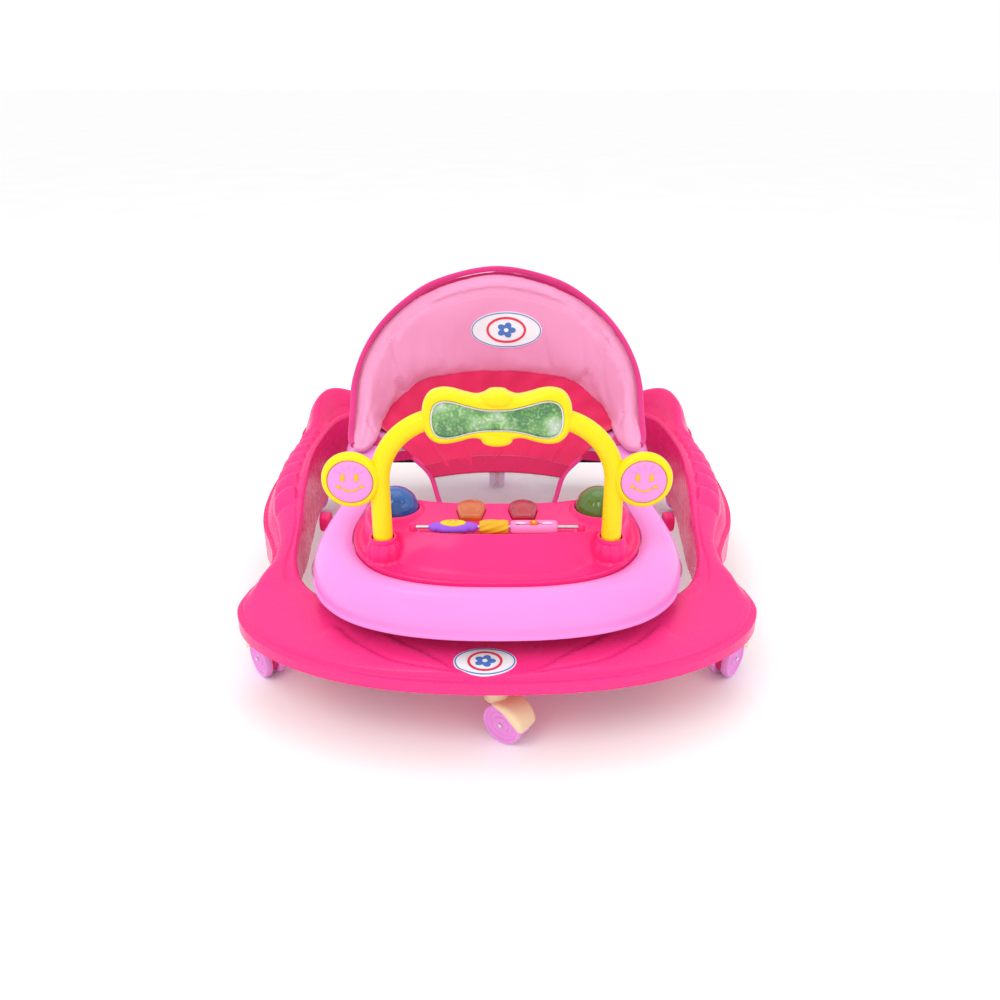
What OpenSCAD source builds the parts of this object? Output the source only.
/* [Base] */
// Half width of the base across the side rails
base_half_w = 330; // [300:1:350]
// Y of the front edge of the base
base_front_y = -388; // [-410:1:-370]
// Y of the rear edge of the base
base_rear_y = 338; // [320:1:360]
// Wall thickness of the moulded shells
wall = 3; // [2:0.5:4]

/* [Lift frame] */
// Y of the two fixed pivots of the folding cross frame
pivot_y = 225; // [215:1:235]
// Height of the lower fixed pivots
pivot_z = 70; // [66:1:74]
// Length of each cross tube between its pivots
arm_len = 472; // [460:1:476]
// Angle of the cross tubes when the walker is folded down
rest_deg = 6; // [5.5:0.1:7]
// Tube outer diameter
tube_d = 16; // [14:1:16]
// Half spacing of the outer cross tubes
outer_tube_x = 228; // [226:1:230]
// Half spacing of the inner cross tubes
inner_tube_x = 208; // [206:1:209]

/* [Casters] */
// Wheel diameter
wheel_d = 50; // [46:1:52]
// Thickness of one wheel disc
disc_t = 10; // [8:1:11]
// Offset of the axle behind the swivel stem
trail = 14; // [10:1:16]
// Stem diameter
stem_d = 8; // [6:1:9]

/* [Tray] */
// Height of the flat play tray surface
tray_z = 179; // [176:1:182]
// Height of the raised toy platform
deck_z = 203; // [200:1:206]
// How far a melody button travels
button_travel = 3; // [2:0.5:3]

/* [Toy bar] */
// Half spacing of the toy bar legs
bar_x = 128; // [124:1:130]
// Y of the toy bar
bar_y = -262; // [-264:1:-260]
// Tube diameter of the toy bar
bar_d = 22; // [20:1:24]
// Height of the toy bar's top tube
bar_top_z = 350; // [340:1:356]

/* [Hidden] */
$fn = 48;
// Shift that puts the origin under the middle of the whole walker
origin_shift_y = 16.5;
EPS = 0.01;
hot_pink = "#ff4792";
lilac = "#f8a4ea";
yellow = "#fbe41b";
cream = "#f0d9b8";
steel = "#c8c8cc";
// Caster places: x, y and the swivel angle at rest
CASTERS = [
    [0, -345, -35],
    [276, -242, 52],
    [-276, -242, 128],
    [300, 214, 20],
    [-300, 214, 160],
    [0, 316, 90]
];

// ---- shared functions -------------------------------------------------

// Catmull-Rom blend of four rows of numbers
function blend4(a, b, c, d, t) = 0.5 * (2 * b + (c - a) * t
    + (2 * a - 5 * b + 4 * c - d) * t * t + (3 * b - a - 3 * c + d) * t * t * t);
// A closed loop of rows with n rows for each given one
function loop_rows(keys, n) = let (m = len(keys)) [
    for (i = [0 : m - 1]) for (j = [0 : n - 1])
        blend4(keys[(i + m - 1) % m], keys[i], keys[(i + 1) % m], keys[(i + 2) % m], j / n)
];
// An open line of rows with n rows for each step
function line_rows(keys, n) = let (m = len(keys)) concat([
    for (i = [0 : m - 2]) for (j = [0 : n - 1])
        blend4(keys[max(i - 1, 0)], keys[i], keys[i + 1], keys[min(i + 2, m - 1)], j / n)
], [keys[m - 1]]);
// The right half of a loop with its mirror image; cols lists the columns that change sign
function both_sides(half, cols) = concat(half, [
    for (i = [len(half) - 2 : -1 : 1]) [for (c = [0 : len(half[i]) - 1])
        len(search(c, cols)) > 0 ? -half[i][c] : half[i][c]]
]);
function line_both(half, cols) = concat([
    for (i = [0 : len(half) - 2]) [for (c = [0 : len(half[i]) - 1])
        len(search(c, cols)) > 0 ? -half[i][c] : half[i][c]]
], [for (i = [len(half) - 1 : -1 : 0]) half[i]]);
// Two triangles for each cell of a grid of m rings of k points
function wrap_faces(m, k, closed) = [
    for (i = [0 : closed ? m - 1 : m - 2]) for (j = [0 : k - 1])
        let (a = i * k + j, b = i * k + (j + 1) % k,
             c = ((i + 1) % m) * k + (j + 1) % k, d = ((i + 1) % m) * k + j)
        each [[a, b, c], [a, c, d]]
];
function cap(first, k, turn) = [[for (j = [0 : k - 1]) first + (turn ? k - 1 - j : j)]];

module ring_loft(rings) {
    k = len(rings[0]);
    polyhedron([for (r = rings) each r], wrap_faces(len(rings), k, true));
}

// A closed sheet: rows of points on one face, and the same rows moved by shift on the other
module sheet(front, back) {
    m = len(front);
    rings = [for (i = [0 : m - 1]) concat(front[i], [for (j = [len(back[i]) - 1 : -1 : 0]) back[i][j]])];
    k = len(rings[0]);
    n = len(front[0]);
    strip = function (first, flip) [for (j = [0 : n - 2])
        let (a = first + j, b = first + j + 1, c = first + k - 2 - j, d = first + k - 1 - j)
        each flip ? [[a, c, b], [a, d, c]] : [[a, b, c], [a, c, d]]];
    polyhedron([for (r = rings) each r],
        concat(wrap_faces(m, k, false), strip(0, true), strip((m - 1) * k, false)));
}

module at_casters() for (c = CASTERS) translate([c[0], c[1], 0]) children();
module both() {
    children();
    mirror([1, 0, 0]) children();
}
module placed() translate([0, origin_shift_y, 0]) children();

// ---- base ---------------------------------------------------------------

// Right half: outer x, y, inner x, y, outer bottom, lip top, middle, ridge, inner bottom
BASE_HALF = [
    [0, base_front_y, 0, -270, 84, 98, 107, 112, 92],
    [90, -383, 76, -268, 84, 98, 107, 112, 92],
    [168, -366, 134, -261, 84, 98, 107, 112, 92],
    [236, -335, 180, -248, 84, 99, 108, 112, 92],
    [284, -296, 212, -229, 84, 101, 110, 113, 92],
    [307, -254, 238, -200, 84, 104, 116, 116, 90],
    [304, -214, 251, -167, 84, 106, 123, 124, 84],
    [291, -178, 256, -130, 82, 108, 128, 132, 78],
    [290, -140, 258, -95, 78, 112, 136, 142, 74],
    [302, -103, 261, -60, 74, 114, 144, 151, 72],
    [319, -62, 265, -22, 70, 116, 152, 159, 70],
    [328, -18, 268, 18, 70, 120, 158, 165, 70],
    [base_half_w, 32, 271, 58, 70, 124, 162, 168, 70],
    [327, 82, 271, 98, 70, 128, 165, 170, 70],
    [320, 130, 268, 138, 70, 132, 168, 171, 70],
    [314, 176, 263, 176, 70, 138, 182, 172, 70],
    [316, 222, 255, 212, 70, 146, 204, 172, 70],
    [302, 270, 236, 246, 70, 148, 207, 168, 70],
    [264, 306, 200, 272, 70, 136, 188, 160, 70],
    [196, 324, 146, 288, 70, 116, 156, 150, 70],
    [100, 334, 74, 298, 70, 108, 144, 144, 70],
    [0, base_rear_y, 0, 301, 70, 106, 142, 142, 70]
];

// Across the rail: s runs from the outer edge, 0, to the inner edge, 1
function base_skin(r) = [
    [0, r[4]], [0, r[5]], [0.05, r[5] + 6], [0.22, r[5] + (r[6] - r[5]) * 0.75],
    [0.5, r[6]], [0.86, r[7]], [0.96, r[7] - 3], [1, r[7] - 11], [1, r[8]]
];
function base_ring(r) =
    let (w = norm([r[0] - r[2], r[1] - r[3]]), e = wall / w, sk = base_skin(r), n = len(sk),
         low = [for (i = [n - 1 : -1 : 0]) [e + sk[i][0] * (1 - 2 * e),
             (i == 0 || i == n - 1) ? sk[i][1] : sk[i][1] - wall]])
    [for (p = concat(sk, low)) [r[0] + (r[2] - r[0]) * p[0], r[1] + (r[3] - r[1]) * p[0], p[1]]];

module base_shell() color(hot_pink)
    ring_loft([for (r = loop_rows(both_sides(BASE_HALF, [0, 2]), 2)) base_ring(r)]);

module base_badge() color("white")
    translate([0, -356, 107]) rotate([4, 0, 0]) linear_extrude(1.2)
        scale([1.9, 1]) circle(15);

// Height of the caster sockets' flanges
socket_z = 66;
stem_top = 98;
stem_fit = 0.05;
// Rubber pads that stop the base when a wheel drops over an edge: x, y and the roof above
PADS = [[-150, -306, 104], [150, -306, 104], [-150, 306, 136], [150, 306, 136]];
pad_z = 58;
pad_l = 64;
pad_w = 22;
pad_h = 8;
post_x = 20;

// Bosses under the base: a flanged socket for each caster's stem and two posts for each pad
module base_bosses() color(hot_pink) {
    at_casters() translate([0, 0, socket_z]) difference() {
        union() {
            cylinder(h = 33, d = 18);
            cylinder(h = 3, d = 36);
        }
        translate([0, 0, -1]) cylinder(h = stem_top - socket_z + 2, d = stem_d + 2 * stem_fit);
    }
    for (p = PADS) translate([p[0], p[1], pad_z + pad_h]) {
        translate([-pad_l / 2, -pad_w / 2, 0]) cube([pad_l, pad_w, 3]);
        for (x = [-post_x, post_x]) translate([x, 0, 3]) cylinder(h = p[2] - pad_z - pad_h - 4.5, d = 12);
    }
}
module stopper_pads() color("#303034") for (p = PADS) difference() {
    translate([p[0] - pad_l / 2, p[1] - pad_w / 2, pad_z]) cube([pad_l, pad_w, pad_h]);
    for (x = [-post_x, post_x]) translate([p[0] + x, p[1], pad_z - 1]) {
        cylinder(h = 4, d = 8);
        cylinder(h = pad_h + 2, d = 3.4);
    }
}

pin_d = 8;
pin_fit = 0.05;
bracket_x = outer_tube_x + tube_d / 2 + 1;
// Ears on the base's rear corners that carry the outer tube's pivots
module base_pivot_brackets() color(hot_pink) both() difference() {
    translate([bracket_x, pivot_y - 18, pivot_z - 14]) cube([6, 24, 44]);
    translate([bracket_x - 1, pivot_y, pivot_z]) rotate([0, 90, 0])
        cylinder(h = 8, d = pin_d + 2 * pin_fit);
}

track_l = 76;
track_slot = tube_d + 1.6;
// Channels in which the inner tube's lower ends slide
module base_slide_tracks() color(hot_pink) both() difference() {
    translate([inner_tube_x - 14, -268, pivot_z - 14]) cube([28, track_l, 28]);
    translate([inner_tube_x - 10, -262, pivot_z - track_slot / 2])
        cube([20, track_l + 2, track_slot]);
    translate([inner_tube_x - 10, -250, pivot_z]) cube([20, track_l + 2, 20]);
}

// Screws that hold the pads to the base's posts
module base_screws() color(steel) for (p = PADS) for (x = [-post_x, post_x])
    translate([p[0] + x, p[1], pad_z + 0.8]) {
        cylinder(h = 2.2, d = 7);
        cylinder(h = pad_h - 0.8, d = 3);
    }

// ---- casters --------------------------------------------------------------

wheel_r = wheel_d / 2;
core_half = 3.6;
axle_d = 5;
hood_gap = 2;
hood_half = core_half + disc_t + 2.4;
module at_caster(i) translate([CASTERS[i][0], CASTERS[i][1], 0]) rotate([0, 0, CASTERS[i][2]])
    children();
module at_axle() translate([trail, 0, wheel_r]) rotate([90, 0, 0]) children();

// Cream fender over the two discs
module caster_hood(i) color(cream) at_caster(i) difference() {
    union() {
        at_axle() cylinder(h = 2 * hood_half, r = wheel_r + hood_gap + 2.5, center = true);
        translate([0, 0, 44]) cylinder(h = 16, d = 26);
    }
    at_axle() cylinder(h = 2 * hood_half - 2.4, r = wheel_r + hood_gap, center = true);
    translate([-30, -30, -10]) cube([100, 60, wheel_r + 17]);
    translate([trail + 8, -30, -10]) cube([60, 60, 48]);
    cylinder(h = 80, d = 16.4);
}
// Web between the discs, with the swivel stem
module caster_core(i) color(hot_pink) at_caster(i) difference() {
    union() {
        at_axle() cylinder(h = 2 * core_half, r = 15, center = true);
        translate([-7, -core_half, 24]) cube([21, 2 * core_half, 27]);
        translate([0, 0, 50]) cylinder(h = 11, d = 16);
        translate([0, 0, 60]) cylinder(h = stem_top - 60, d = stem_d);
    }
    at_axle() cylinder(h = 20, d = axle_d + 0.1, center = true);
}
// Twin discs on their axle
module caster_wheels(i) color(lilac) at_caster(i) at_axle() {
    cylinder(h = 2 * (core_half + disc_t), d = axle_d, center = true);
    for (m = [0, 1]) mirror([0, 0, m]) translate([0, 0, core_half + 0.4]) difference() {
        cylinder(h = disc_t, r = wheel_r);
        translate([0, 0, disc_t - 1.6]) difference() {
            cylinder(h = 3, r = wheel_r - 4);
            cylinder(h = 3, r = 9);
        }
    }
}

// ---- lift frame -------------------------------------------------------------

tube_r = tube_d / 2;
outer_bend = 95;
inner_bend = 70;
rest_rise = arm_len * sin(rest_deg);
tray_pivot_z = pivot_z + rest_rise;
cross_y = pivot_y - arm_len / 2 * cos(rest_deg);
cross_z = pivot_z + rest_rise / 2;

// Half of a U: a straight leg at x that runs towards -Y for len, then a bend of radius bend
// to the crossbar, which it meets at y = -(len + bend)
module u_half(x, back, len, bend, r) {
    translate([x, back, 0]) rotate([90, 0, 0]) cylinder(h = back + len, r = r);
    translate([x - bend, -len, 0]) rotate([0, 0, -90]) rotate_extrude(angle = 90)
        translate([bend, 0]) circle(r);
    translate([0, -len - bend, 0]) rotate([0, 90, 0]) cylinder(h = x - bend, r = r);
}
module outer_u(r, back) both() u_half(outer_tube_x, back, arm_len - outer_bend, outer_bend, r);

// Outer tube: rear ends on the base's pivots, front crossbar under the tray
module outer_cross_tube() color(steel) translate([0, pivot_y, pivot_z]) rotate([-rest_deg, 0, 0]) {
    difference() {
        outer_u(tube_r, 14);
        both() translate([outer_tube_x, 20, 0]) rotate([90, 0, 0]) cylinder(h = 90, r = tube_r - 1.5);
        both() translate([outer_tube_x - 20, -arm_len / 2, 0]) rotate([0, 90, 0])
            cylinder(h = 40, d = pin_d + 2 * pin_fit);
    }
    both() translate([outer_tube_x + tube_r - 2, 0, 0]) rotate([0, 90, 0]) cylinder(h = 8.5, d = pin_d);
}
// Inner tube: rear crossbar on the tray's pivots, front ends in the base's tracks
module inner_cross_tube() color(steel) translate([0, pivot_y, tray_pivot_z]) rotate([rest_deg, 0, 0])
    difference() {
        both() {
            translate([inner_tube_x, -inner_bend, 0]) rotate([90, 0, 0])
                cylinder(h = arm_len + 2 - inner_bend, r = tube_r);
            translate([inner_tube_x - inner_bend, -inner_bend, 0])
                rotate_extrude(angle = 90) translate([inner_bend, 0]) circle(tube_r);
            rotate([0, 90, 0]) cylinder(h = inner_tube_x - inner_bend, r = tube_r);
        }
        both() translate([inner_tube_x, -arm_len + 90, 0]) rotate([90, 0, 0])
            cylinder(h = 120, r = tube_r - 1.5);
        both() translate([inner_tube_x - 20, -arm_len / 2, 0]) rotate([0, 90, 0])
            cylinder(h = 40, d = pin_d + 2 * pin_fit);
    }

bolt_in = inner_tube_x - tube_r - 4;
cap_x = outer_tube_x + tube_r + 0.5;
cap_l = 16;
// Bolts through both tubes where they cross
module cross_pivot_bolts() color(steel) both() translate([bolt_in, cross_y, cross_z])
    rotate([0, 90, 0]) {
        cylinder(h = cap_x + 8 - bolt_in, d = pin_d);
        cylinder(h = 3.5, d = 14);
    }
// Pink caps over the bolts' outer ends
module cross_pivot_caps() color(hot_pink) both() translate([cap_x, cross_y, cross_z]) difference() {
    union() {
        rotate([0, 90, 0]) cylinder(h = cap_l, d = 22);
        translate([0, -11, 0]) cube([cap_l - 2, 22, 16]);
    }
    translate([-1, 0, 0]) rotate([0, 90, 0]) cylinder(h = 9.5, d = pin_d);
}

// ---- tray -------------------------------------------------------------------

// Right half: outer x, y, inner x, y, lip bottom, top
RING_HALF = [
    [0, -354, 0, -321, 130, 180],
    [62, -351, 52, -319, 130, 180],
    [118, -339, 98, -308, 130, 180],
    [165, -316, 135, -286, 130, 180],
    [198, -282, 159, -254, 131, 181],
    [215, -242, 170, -220, 132, 182],
    [218, -203, 172, -190, 134, 184],
    [214, -165, 168, -160, 136, 186],
    [208, -128, 163, -128, 138, 188],
    [207, -90, 160, -90, 140, 191],
    [212, -45, 160, -48, 143, 195],
    [218, 0, 160, 0, 145, 199],
    [222, 50, 160, 50, 148, 202],
    [223, 100, 158, 98, 150, 204],
    [216, 150, 148, 142, 151, 205],
    [192, 202, 128, 172, 152, 205],
    [148, 240, 96, 192, 152, 205],
    [78, 258, 50, 203, 152, 205],
    [0, 264, 0, 207, 152, 205]
];
function ring_skin(r) = let (h = r[5] - r[4]) [
    [0.04, r[4]], [0, r[4] + 0.2 * h], [0.02, r[4] + 0.45 * h], [0.14, r[4] + 0.8 * h],
    [0.4, r[5] + 2], [0.75, r[5] + 2], [1, r[5] - 3], [1, r[5] - 16]
];
function ring_section(r) =
    let (w = norm([r[0] - r[2], r[1] - r[3]]), e = wall / w, sk = ring_skin(r), n = len(sk),
         low = [for (i = [n - 1 : -1 : 0]) [e + sk[i][0] * (1 - 2 * e),
             (i == 0 || i == n - 1) ? sk[i][1] : sk[i][1] - wall]])
    [for (p = concat(sk, low)) [r[0] + (r[2] - r[0]) * p[0], r[1] + (r[3] - r[1]) * p[0], p[1]]];
module tray_ring() color(lilac)
    ring_loft([for (r = loop_rows(both_sides(RING_HALF, [0, 2]), 2)) ring_section(r)]);

// The play tray's outline, a little inside the ring's inner edge
PLAY_EDGE = [
    [0, -320], [52, -317.8], [97, -307], [134, -285], [157.5, -254], [168.8, -220],
    [170.8, -190], [167, -160], [163, -140], [120, -150], [70, -157], [0, -160]
];
// The raised platform's outline
DECK_EDGE = [
    [0, -280], [48, -278], [88, -268], [118, -252], [140, -226], [148, -200],
    [146, -170], [140, -158], [70, -161], [0, -164]
];
function full_edge(half) = concat(half, [for (i = [len(half) - 1 : -1 : 0])
    if (half[i][0] > 0) [-half[i][0], half[i][1]]]);
function narrowed(half, mid, by) = [for (p = half) let (v = p - mid, n = norm(v)) mid + v * (n - by) / n];

rod_y = -245;
rod_z = deck_z + 8;
dome_y = -184;
dome_x = 122;
dome_d = 56;
bezel_d = 68;
button_x = 31;
button_y = -192;
speaker_y = -222;
socket_d = 34;
deck_mid = [0, -205];
module slab(edge, z, h) translate([0, 0, z]) linear_extrude(h) polygon(full_edge(edge));

module button_outline(grow) {
    translate([0, 5]) circle(17 + grow);
    polygon([[-17 - grow, 5], [-11.5 - grow, -22 - grow], [11.5 + grow, -22 - grow], [17 + grow, 5]]);
}
module at_buttons() for (s = [-1, 1]) translate([s * button_x, button_y, 0]) children();

// Pink play tray: a plate with a raised, hollow toy platform
module play_tray() color(hot_pink) difference() {
    union() {
        slab(PLAY_EDGE, tray_z - 3, 3);
        slab(DECK_EDGE, tray_z - EPS, deck_z - tray_z);
        both() translate([bar_x, bar_y, tray_z - EPS]) cylinder(h = 30, d = socket_d);
        both() translate([96, rod_y, deck_z - 1]) cylinder(h = 14, d = 9);
        both() translate([dome_x, dome_y, tray_z - EPS]) cylinder(h = deck_z - tray_z, d = bezel_d);
    }
    both() translate([dome_x, dome_y, tray_z - 4]) cylinder(h = deck_z - tray_z + 1, d = bezel_d - 6);
    slab(narrowed(DECK_EDGE, deck_mid, 3), tray_z - 4, deck_z - tray_z + 1);
    both() translate([dome_x, dome_y, deck_z - 6]) cylinder(h = 20, d = dome_d - 4);
    both() translate([bar_x, bar_y, tray_z + 3]) cylinder(h = 40, d = bar_d + 0.2);
    at_buttons() translate([0, 0, deck_z - 6]) linear_extrude(10) button_outline(0.5);
    for (x = [-8 : 4 : 8]) for (y = [-226 : 4 : -218]) translate([x, y, deck_z - 6]) cylinder(h = 10, d = 2.2);
    translate([-88, rod_y, rod_z]) rotate([0, 90, 0]) cylinder(h = 176, r = 10.2);
    translate([-110, rod_y, rod_z]) rotate([0, 90, 0]) cylinder(h = 220, d = 4);
}

housing_z = 152;
// Box that closes the platform from below and holds the electronics
module electronics_housing() color("#f2f2f2") difference() {
    translate([-84, -262, housing_z]) cube([168, 96, tray_z - 3 - housing_z]);
    translate([-81, -259, housing_z + 3]) cube([162, 90, 40]);
    translate([-30, -240, housing_z - 1]) cube([60, 50, 10]);
}
module battery_cover() color("#e4e4e8") difference() {
    translate([-29.6, -239.6, housing_z]) cube([59.2, 49.2, 3]);
    translate([0, -232, housing_z - 1]) cylinder(h = 6, d = 3.2);
}
board_z = 181;
module circuit_board() color("#2f7d46") difference() {
    translate([-74, -236, board_z]) cube([148, 68, 1.6]);
    translate([0, speaker_y, board_z - 1]) cylinder(h = 4, d = 24);
}
module speaker() color("#3a3a40") translate([0, speaker_y, 0]) {
    translate([0, 0, 189]) cylinder(h = 8, d = 26);
    translate([0, 0, 177]) cylinder(h = 12, d = 20);
}
// A light dome with its round pink bezel's lip below
module dome(c) color(c, 0.8) translate([0, dome_y, deck_z]) difference() {
    union() {
        intersection() {
            translate([0, 0, 1]) sphere(d = dome_d);
            translate([0, 0, 25]) cube([80, 80, 50], center = true);
        }
        translate([0, 0, -4.5]) cylinder(h = 4.5 + EPS, d = dome_d - 4.6);
    }
    translate([0, 0, 1]) sphere(d = dome_d - 6);
}
module dome_blue() translate([-dome_x, 0, 0]) dome("#1f5fa8");
module dome_green() translate([dome_x, 0, 0]) dome("#5a7d33");

// A melody button with the flange that holds it in
module button(x, c) color(c) translate([x, button_y, 0]) {
    translate([0, 0, deck_z - 5 - button_travel]) linear_extrude(14 + button_travel) button_outline(0);
    translate([0, 0, deck_z - 5.5 - button_travel]) linear_extrude(2) button_outline(2);
}
module button_orange() button(-button_x, "#e8622a");
module button_red() button(button_x, "#c22a3c");
spring_top = deck_z - 5.5 - button_travel;
module button_springs() color(steel) at_buttons() translate([0, 0, board_z + 1.6]) difference() {
    cylinder(h = spring_top - board_z - 1.6, d = 8);
    translate([0, 0, -1]) cylinder(h = 30, d = 6.6);
}

module toy_rod() color(steel) translate([-99, rod_y, rod_z]) rotate([0, 90, 0]) cylinder(h = 198, d = 4);
module on_rod(x) translate([x, rod_y, rod_z]) rotate([0, 90, 0]) children();
rod_hole = 4.1;
module spinner_purple() color("#9a5fe0") on_rod(-78) difference() {
    union() {
        cylinder(h = 56, d = 11);
        translate([0, 0, 12]) cylinder(h = 32, d = 18.6);
    }
    translate([0, 0, -1]) cylinder(h = 60, d = rod_hole);
}
module spinner_bead() color("#d9a520") on_rod(-20) difference() {
    cylinder(h = 33, d = 17);
    translate([0, 0, -1]) cylinder(h = 40, d = rod_hole);
}
module spinner_pink() color("#f58bd0") on_rod(15) difference() {
    union() {
        cylinder(h = 54, d = 10);
        translate([-7.5, -6, 6]) cube([15, 12, 42]);
    }
    translate([0, 0, -1]) cylinder(h = 60, d = rod_hole);
}

// ---- tray underside -----------------------------------------------------------

guide_x = 112;
guide_slot = tube_d + 1.2;
// Y of the guides' front ends, behind the base's apron
guide_y = -260;
// Guides under the tray in which the outer tube's crossbar slides
module tray_slide_guides() color(lilac) both() difference() {
    union() {
        translate([guide_x - 12, guide_y, tray_pivot_z - 13]) cube([24, -174 - guide_y, 26]);
        translate([guide_x - 12, guide_y, tray_pivot_z + 12]) cube([24, 5, tray_z - 3 - tray_pivot_z - 12]);
        translate([guide_x - 12, -180, tray_pivot_z + 12]) cube([24, 6, tray_z - 3 - tray_pivot_z - 12]);
    }
    translate([guide_x - 20, guide_y + 5, tray_pivot_z - guide_slot / 2]) cube([40, 74, guide_slot]);
}
// Saddles under the ring's rear that hold the inner tube's crossbar
module tray_pivot_saddles() color(lilac) both() difference() {
    union() {
        translate([60, pivot_y - 13, tray_pivot_z - 13]) cube([22, 26, 26]);
        translate([60, pivot_y - 13, tray_pivot_z + 12]) cube([22, 26, 68]);
    }
    translate([50, pivot_y, tray_pivot_z]) rotate([0, 90, 0]) cylinder(h = 40, d = tube_d + 0.1);
}
// Notched rack that sets the height, over the crossbar
module height_rack() color("#e4e4e8") {
    difference() {
        union() {
            translate([-24, -266, tray_pivot_z + 10]) cube([48, 92, housing_z - tray_pivot_z - 10]);
            translate([-52, -298, 140]) cube([104, 12, tray_z - 3 - 140]);
        }
        translate([-40, -300, 130]) cube([80, 16, 30]);
        for (y = [-250, -226, -202]) translate([-30, y, tray_pivot_z + 2]) rotate([0, 90, 0])
            cylinder(h = 60, d = tube_d + 2);
        translate([-60, latch_y, latch_z]) rotate([0, 90, 0]) cylinder(h = 120, d = 4);
    }
    translate([-52, latch_y, latch_z]) rotate([0, 90, 0]) cylinder(h = 104, d = 4);
}
latch_y = -292;
latch_z = 150;
// Sprung lever in front of the rack, squeezed to free the crossbar
module height_latch() color(yellow) {
    difference() {
        union() {
            translate([-34, latch_y, latch_z]) rotate([0, 90, 0]) cylinder(h = 68, d = 10);
            translate([-30, latch_y - 2, latch_z - 20]) cube([60, 4, 20]);
        }
        translate([-40, latch_y, latch_z]) rotate([0, 90, 0]) cylinder(h = 80, d = 4.1);
    }
}

// ---- toy bar ------------------------------------------------------------------

bar_bend = 75;
module toy_bar() color(yellow) both() {
    translate([bar_x, bar_y, tray_z + 3]) cylinder(h = bar_top_z - bar_bend - tray_z - 3, d = bar_d);
    translate([bar_x - bar_bend, bar_y, bar_top_z - bar_bend]) rotate([90, 0, 0])
        rotate_extrude(angle = 90) translate([bar_bend, 0]) circle(d = bar_d);
    translate([0, bar_y, bar_top_z]) rotate([0, 90, 0]) cylinder(h = bar_x - bar_bend, d = bar_d);
}
// Bow-tie outline, right half
BOW_EDGE = [
    [0, 33], [9, 31], [15, 25], [28, 26], [48, 31], [64, 30], [74, 24], [78, 12], [79, 0],
    [77, -13], [71, -23], [60, -27], [44, -26], [28, -22], [15, -22], [9, -29], [0, -32]
];
WINDOW_EDGE = [
    [0, 17], [26, 18], [48, 22], [62, 20], [68, 10], [69, 0], [66, -12], [58, -18], [44, -19],
    [26, -15], [0, -14]
];
bow_t = 26;
module bow_plate(edge, y, t) translate([0, y + t, bar_top_z]) rotate([90, 0, 0])
    linear_extrude(t) polygon(full_edge(edge));
module bow_frame() color(yellow) difference() {
    bow_plate(BOW_EDGE, bar_y - bow_t / 2, bow_t);
    bow_plate(WINDOW_EDGE, bar_y - bow_t / 2 - 0.2, 2);
    translate([-53, bar_y, bar_top_z]) rotate([0, 90, 0]) cylinder(h = 106, d = bar_d + 0.2);
    both() translate([bar_x - bar_bend, bar_y - bar_d / 2 - 0.5, bar_top_z - bar_bend - 60])
        cube([80, bar_d + 1, 60 + bar_bend + bar_d / 2 + 0.5]);
}
module picture_panel() color("#4f9a3c") bow_plate(narrowed(WINDOW_EDGE, [0, 0], 0.3), bar_y - bow_t / 2 - 0.2, 1.8);

disc_x = 158;
disc_y = -268;
disc_z = 281;
disc_d = 64;
module at_discs() both() translate([disc_x, disc_y, disc_z]) rotate([90, 0, 0]) children();
module side_discs() color(yellow) difference() {
    at_discs() difference() {
        cylinder(h = 16, d = disc_d, center = true);
        translate([0, 0, 6]) cylinder(h = 5, d = 50);
    }
    both() translate([bar_x, bar_y, 200]) cylinder(h = 120, d = bar_d + 0.1);
    both() translate([0, bar_y - 30, bar_top_z - bar_bend - 60]) cube([bar_x, 60, 200]);
}
module face_discs() color(lilac) at_discs() translate([0, 0, 6]) {
    cylinder(h = 3, d = 49.6);
    for (x = [-7, 7]) translate([x, 5, 2.9]) cylinder(h = 1.4, d = 6);
    translate([0, -2, 2.9]) difference() {
        cylinder(h = 1.4, d = 24);
        translate([0, 0, -1]) cylinder(h = 4, d = 21);
        translate([-20, -6, -1]) cube([40, 40, 4]);
    }
}

// ---- seat ----------------------------------------------------------------------

// Right half of the padded back: lower inner x, y, z and upper outer x, y, z
BACK_HALF = [
    [176, -14, 205, 196, -15, 207],
    [168, 15, 204, 207, 12, 212],
    [167, 50, 206, 208, 48, 240],
    [165, 95, 210, 197, 98, 293],
    [146, 135, 227, 175, 148, 334],
    [110, 167, 243, 138, 185, 368],
    [58, 184, 248, 86, 207, 396],
    [0, 190, 249, 0, 216, 412]
];
pad_t = 15;
back_rows = line_rows(line_both(BACK_HALF, [0, 3]), 2);
function low_pt(r) = [r[0], r[1], r[2]];
function up_dir(r) = let (v = [r[3] - r[0], r[4] - r[1], r[5] - r[2]]) v / norm(v);
function high_pt(r) = [r[3], r[4], r[5]] - up_dir(r) * 6;
// Outward direction in plan at a point of the back
function out_dir(p) = let (v = [p[0], max(p[1] - 20, 4) * 0.9, 18]) v / norm(v);
function pad_line(r, t) = [for (j = [0 : 5]) let (s = j / 5, p = low_pt(r) * (1 - s) + high_pt(r) * s)
    p + out_dir(p) * t * (0.35 + 0.65 * sin(180 * (0.08 + 0.84 * s)))];
module seat_back_panel() color("#f4aacf")
    sheet([for (r = back_rows) pad_line(r, 0)], [for (r = back_rows) pad_line(r, pad_t)]);
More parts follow.
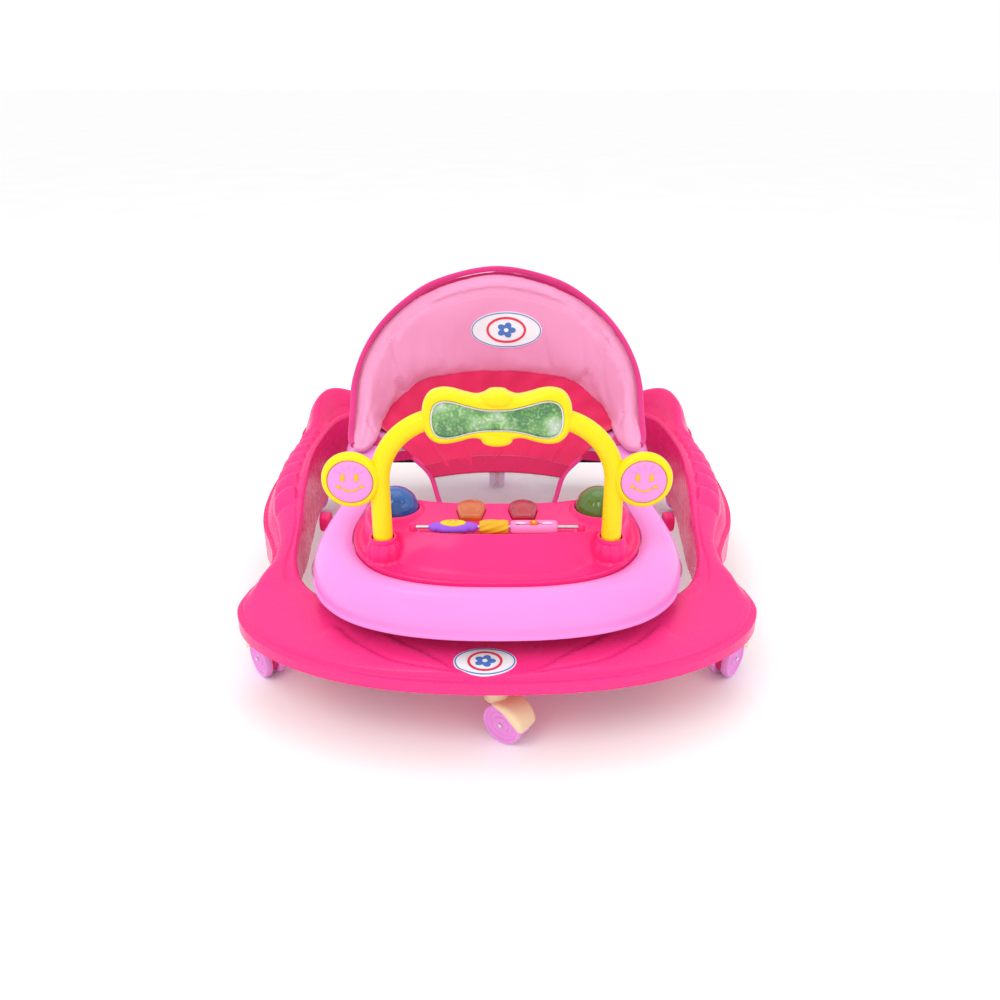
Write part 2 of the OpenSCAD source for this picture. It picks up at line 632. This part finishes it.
// Corded edge round the outside of the back
module seat_piping() color(hot_pink) ring_strip([for (r = back_rows)
    high_pt(r) + up_dir(r) * 5.2 + out_dir(high_pt(r)) * 3.9], 4.5);
module ring_strip(path, r) {
    m = len(path);
    rings = [for (i = [0 : m - 1]) let (d = path[min(i + 1, m - 1)] - path[max(i - 1, 0)], t = d / norm(d),
        o = out_dir(path[i]), a = o - t * (o * t), u = a / norm(a), w = cross(t, u))
        [for (k = [0 : 7]) path[i] + u * r * cos(45 * k) + w * r * sin(45 * k)]];
    polyhedron([for (q = rings) each q], concat(wrap_faces(m, 8, false), cap(0, 8, true), cap((m - 1) * 8, 8, false)));
}

// Seat sling: rows from the back's lower edge down under the child and up to the tray.
// Each row: half width, edge y, edge z, middle y, middle z
SLING = [
    [155, 92, 203, 186, 243],
    [147, 88, 186, 170, 205],
    [124, 78, 160, 132, 165],
    [98, 62, 138, 84, 139],
    [84, 30, 112, 38, 112],
    [66, -8, 84, -6, 78],
    [58, -48, 82, -50, 72],
    [66, -92, 112, -96, 104],
    [92, -124, 152, -130, 150],
    [112, -134, 172, -140, 172]
];
sling_t = 3;
function sling_pt(r, u) = [r[0] * u, r[1] + (r[3] - r[1]) * (1 - u * u), r[2] + (r[4] - r[2]) * (1 - u * u)];
function sling_line(r, dy, dz) = [for (j = [-4 : 4]) sling_pt(r, j / 4) + [0, dy, -dz]];
module sling_part(a, b) {
    rows = [for (i = [a : b]) SLING[i]];
    fine = line_rows(rows, 2);
    sheet([for (r = fine) sling_line(r, 0, 0)], [for (r = fine) sling_line(r, sling_push(r)[0], sling_push(r)[1])]);
}
function sling_push(r) = r[1] > 40 ? [sling_t, sling_t] : (r[1] < -60 ? [-sling_t, sling_t] : [0, sling_t]);
module seat_sling() color("#f43468") sling_part(0, 3);
module seat_mesh() color("#e4dce6") sling_part(3, 5);
module seat_crotch() color(hot_pink) sling_part(5, 9);

module seat_patch() color("white") translate([0, 190, 330]) rotate([84, 0, 0])
    linear_extrude(1.2) scale([1.9, 1]) circle(17);

module tray_screws() color(steel) for (x = [-60, 60]) for (y = [-256, -172])
    translate([x, y, housing_z - 2]) cylinder(h = 2, d = 7);

placed() base_shell();
placed() base_badge();
placed() base_bosses();
placed() stopper_pads();
placed() base_pivot_brackets();
placed() base_slide_tracks();
placed() base_screws();
placed() caster_hood(0);  // caster_hood_front
placed() caster_core(0);  // caster_core_front
placed() caster_wheels(0);  // caster_wheels_front
placed() caster_hood(1);  // caster_hood_front_left
placed() caster_core(1);  // caster_core_front_left
placed() caster_wheels(1);  // caster_wheels_front_left
placed() caster_hood(2);  // caster_hood_front_right
placed() caster_core(2);  // caster_core_front_right
placed() caster_wheels(2);  // caster_wheels_front_right
placed() caster_hood(3);  // caster_hood_rear_left
placed() caster_core(3);  // caster_core_rear_left
placed() caster_wheels(3);  // caster_wheels_rear_left
placed() caster_hood(4);  // caster_hood_rear_right
placed() caster_core(4);  // caster_core_rear_right
placed() caster_wheels(4);  // caster_wheels_rear_right
placed() caster_hood(5);  // caster_hood_rear
placed() caster_core(5);  // caster_core_rear
placed() caster_wheels(5);  // caster_wheels_rear
placed() outer_cross_tube();
placed() inner_cross_tube();
placed() cross_pivot_bolts();
placed() cross_pivot_caps();
placed() tray_ring();
placed() tray_slide_guides();
placed() tray_pivot_saddles();
placed() height_rack();
placed() height_latch();
placed() play_tray();
placed() electronics_housing();
placed() battery_cover();
placed() circuit_board();
placed() speaker();
placed() dome_blue();
placed() dome_green();
placed() button_orange();
placed() button_red();
placed() button_springs();
placed() toy_rod();
placed() spinner_purple();
placed() spinner_bead();
placed() spinner_pink();
placed() toy_bar();
placed() bow_frame();
placed() picture_panel();
placed() side_discs();
placed() face_discs();
placed() seat_back_panel();
placed() seat_piping();
placed() seat_sling();
placed() seat_mesh();
placed() seat_crotch();
placed() seat_patch();
placed() tray_screws();
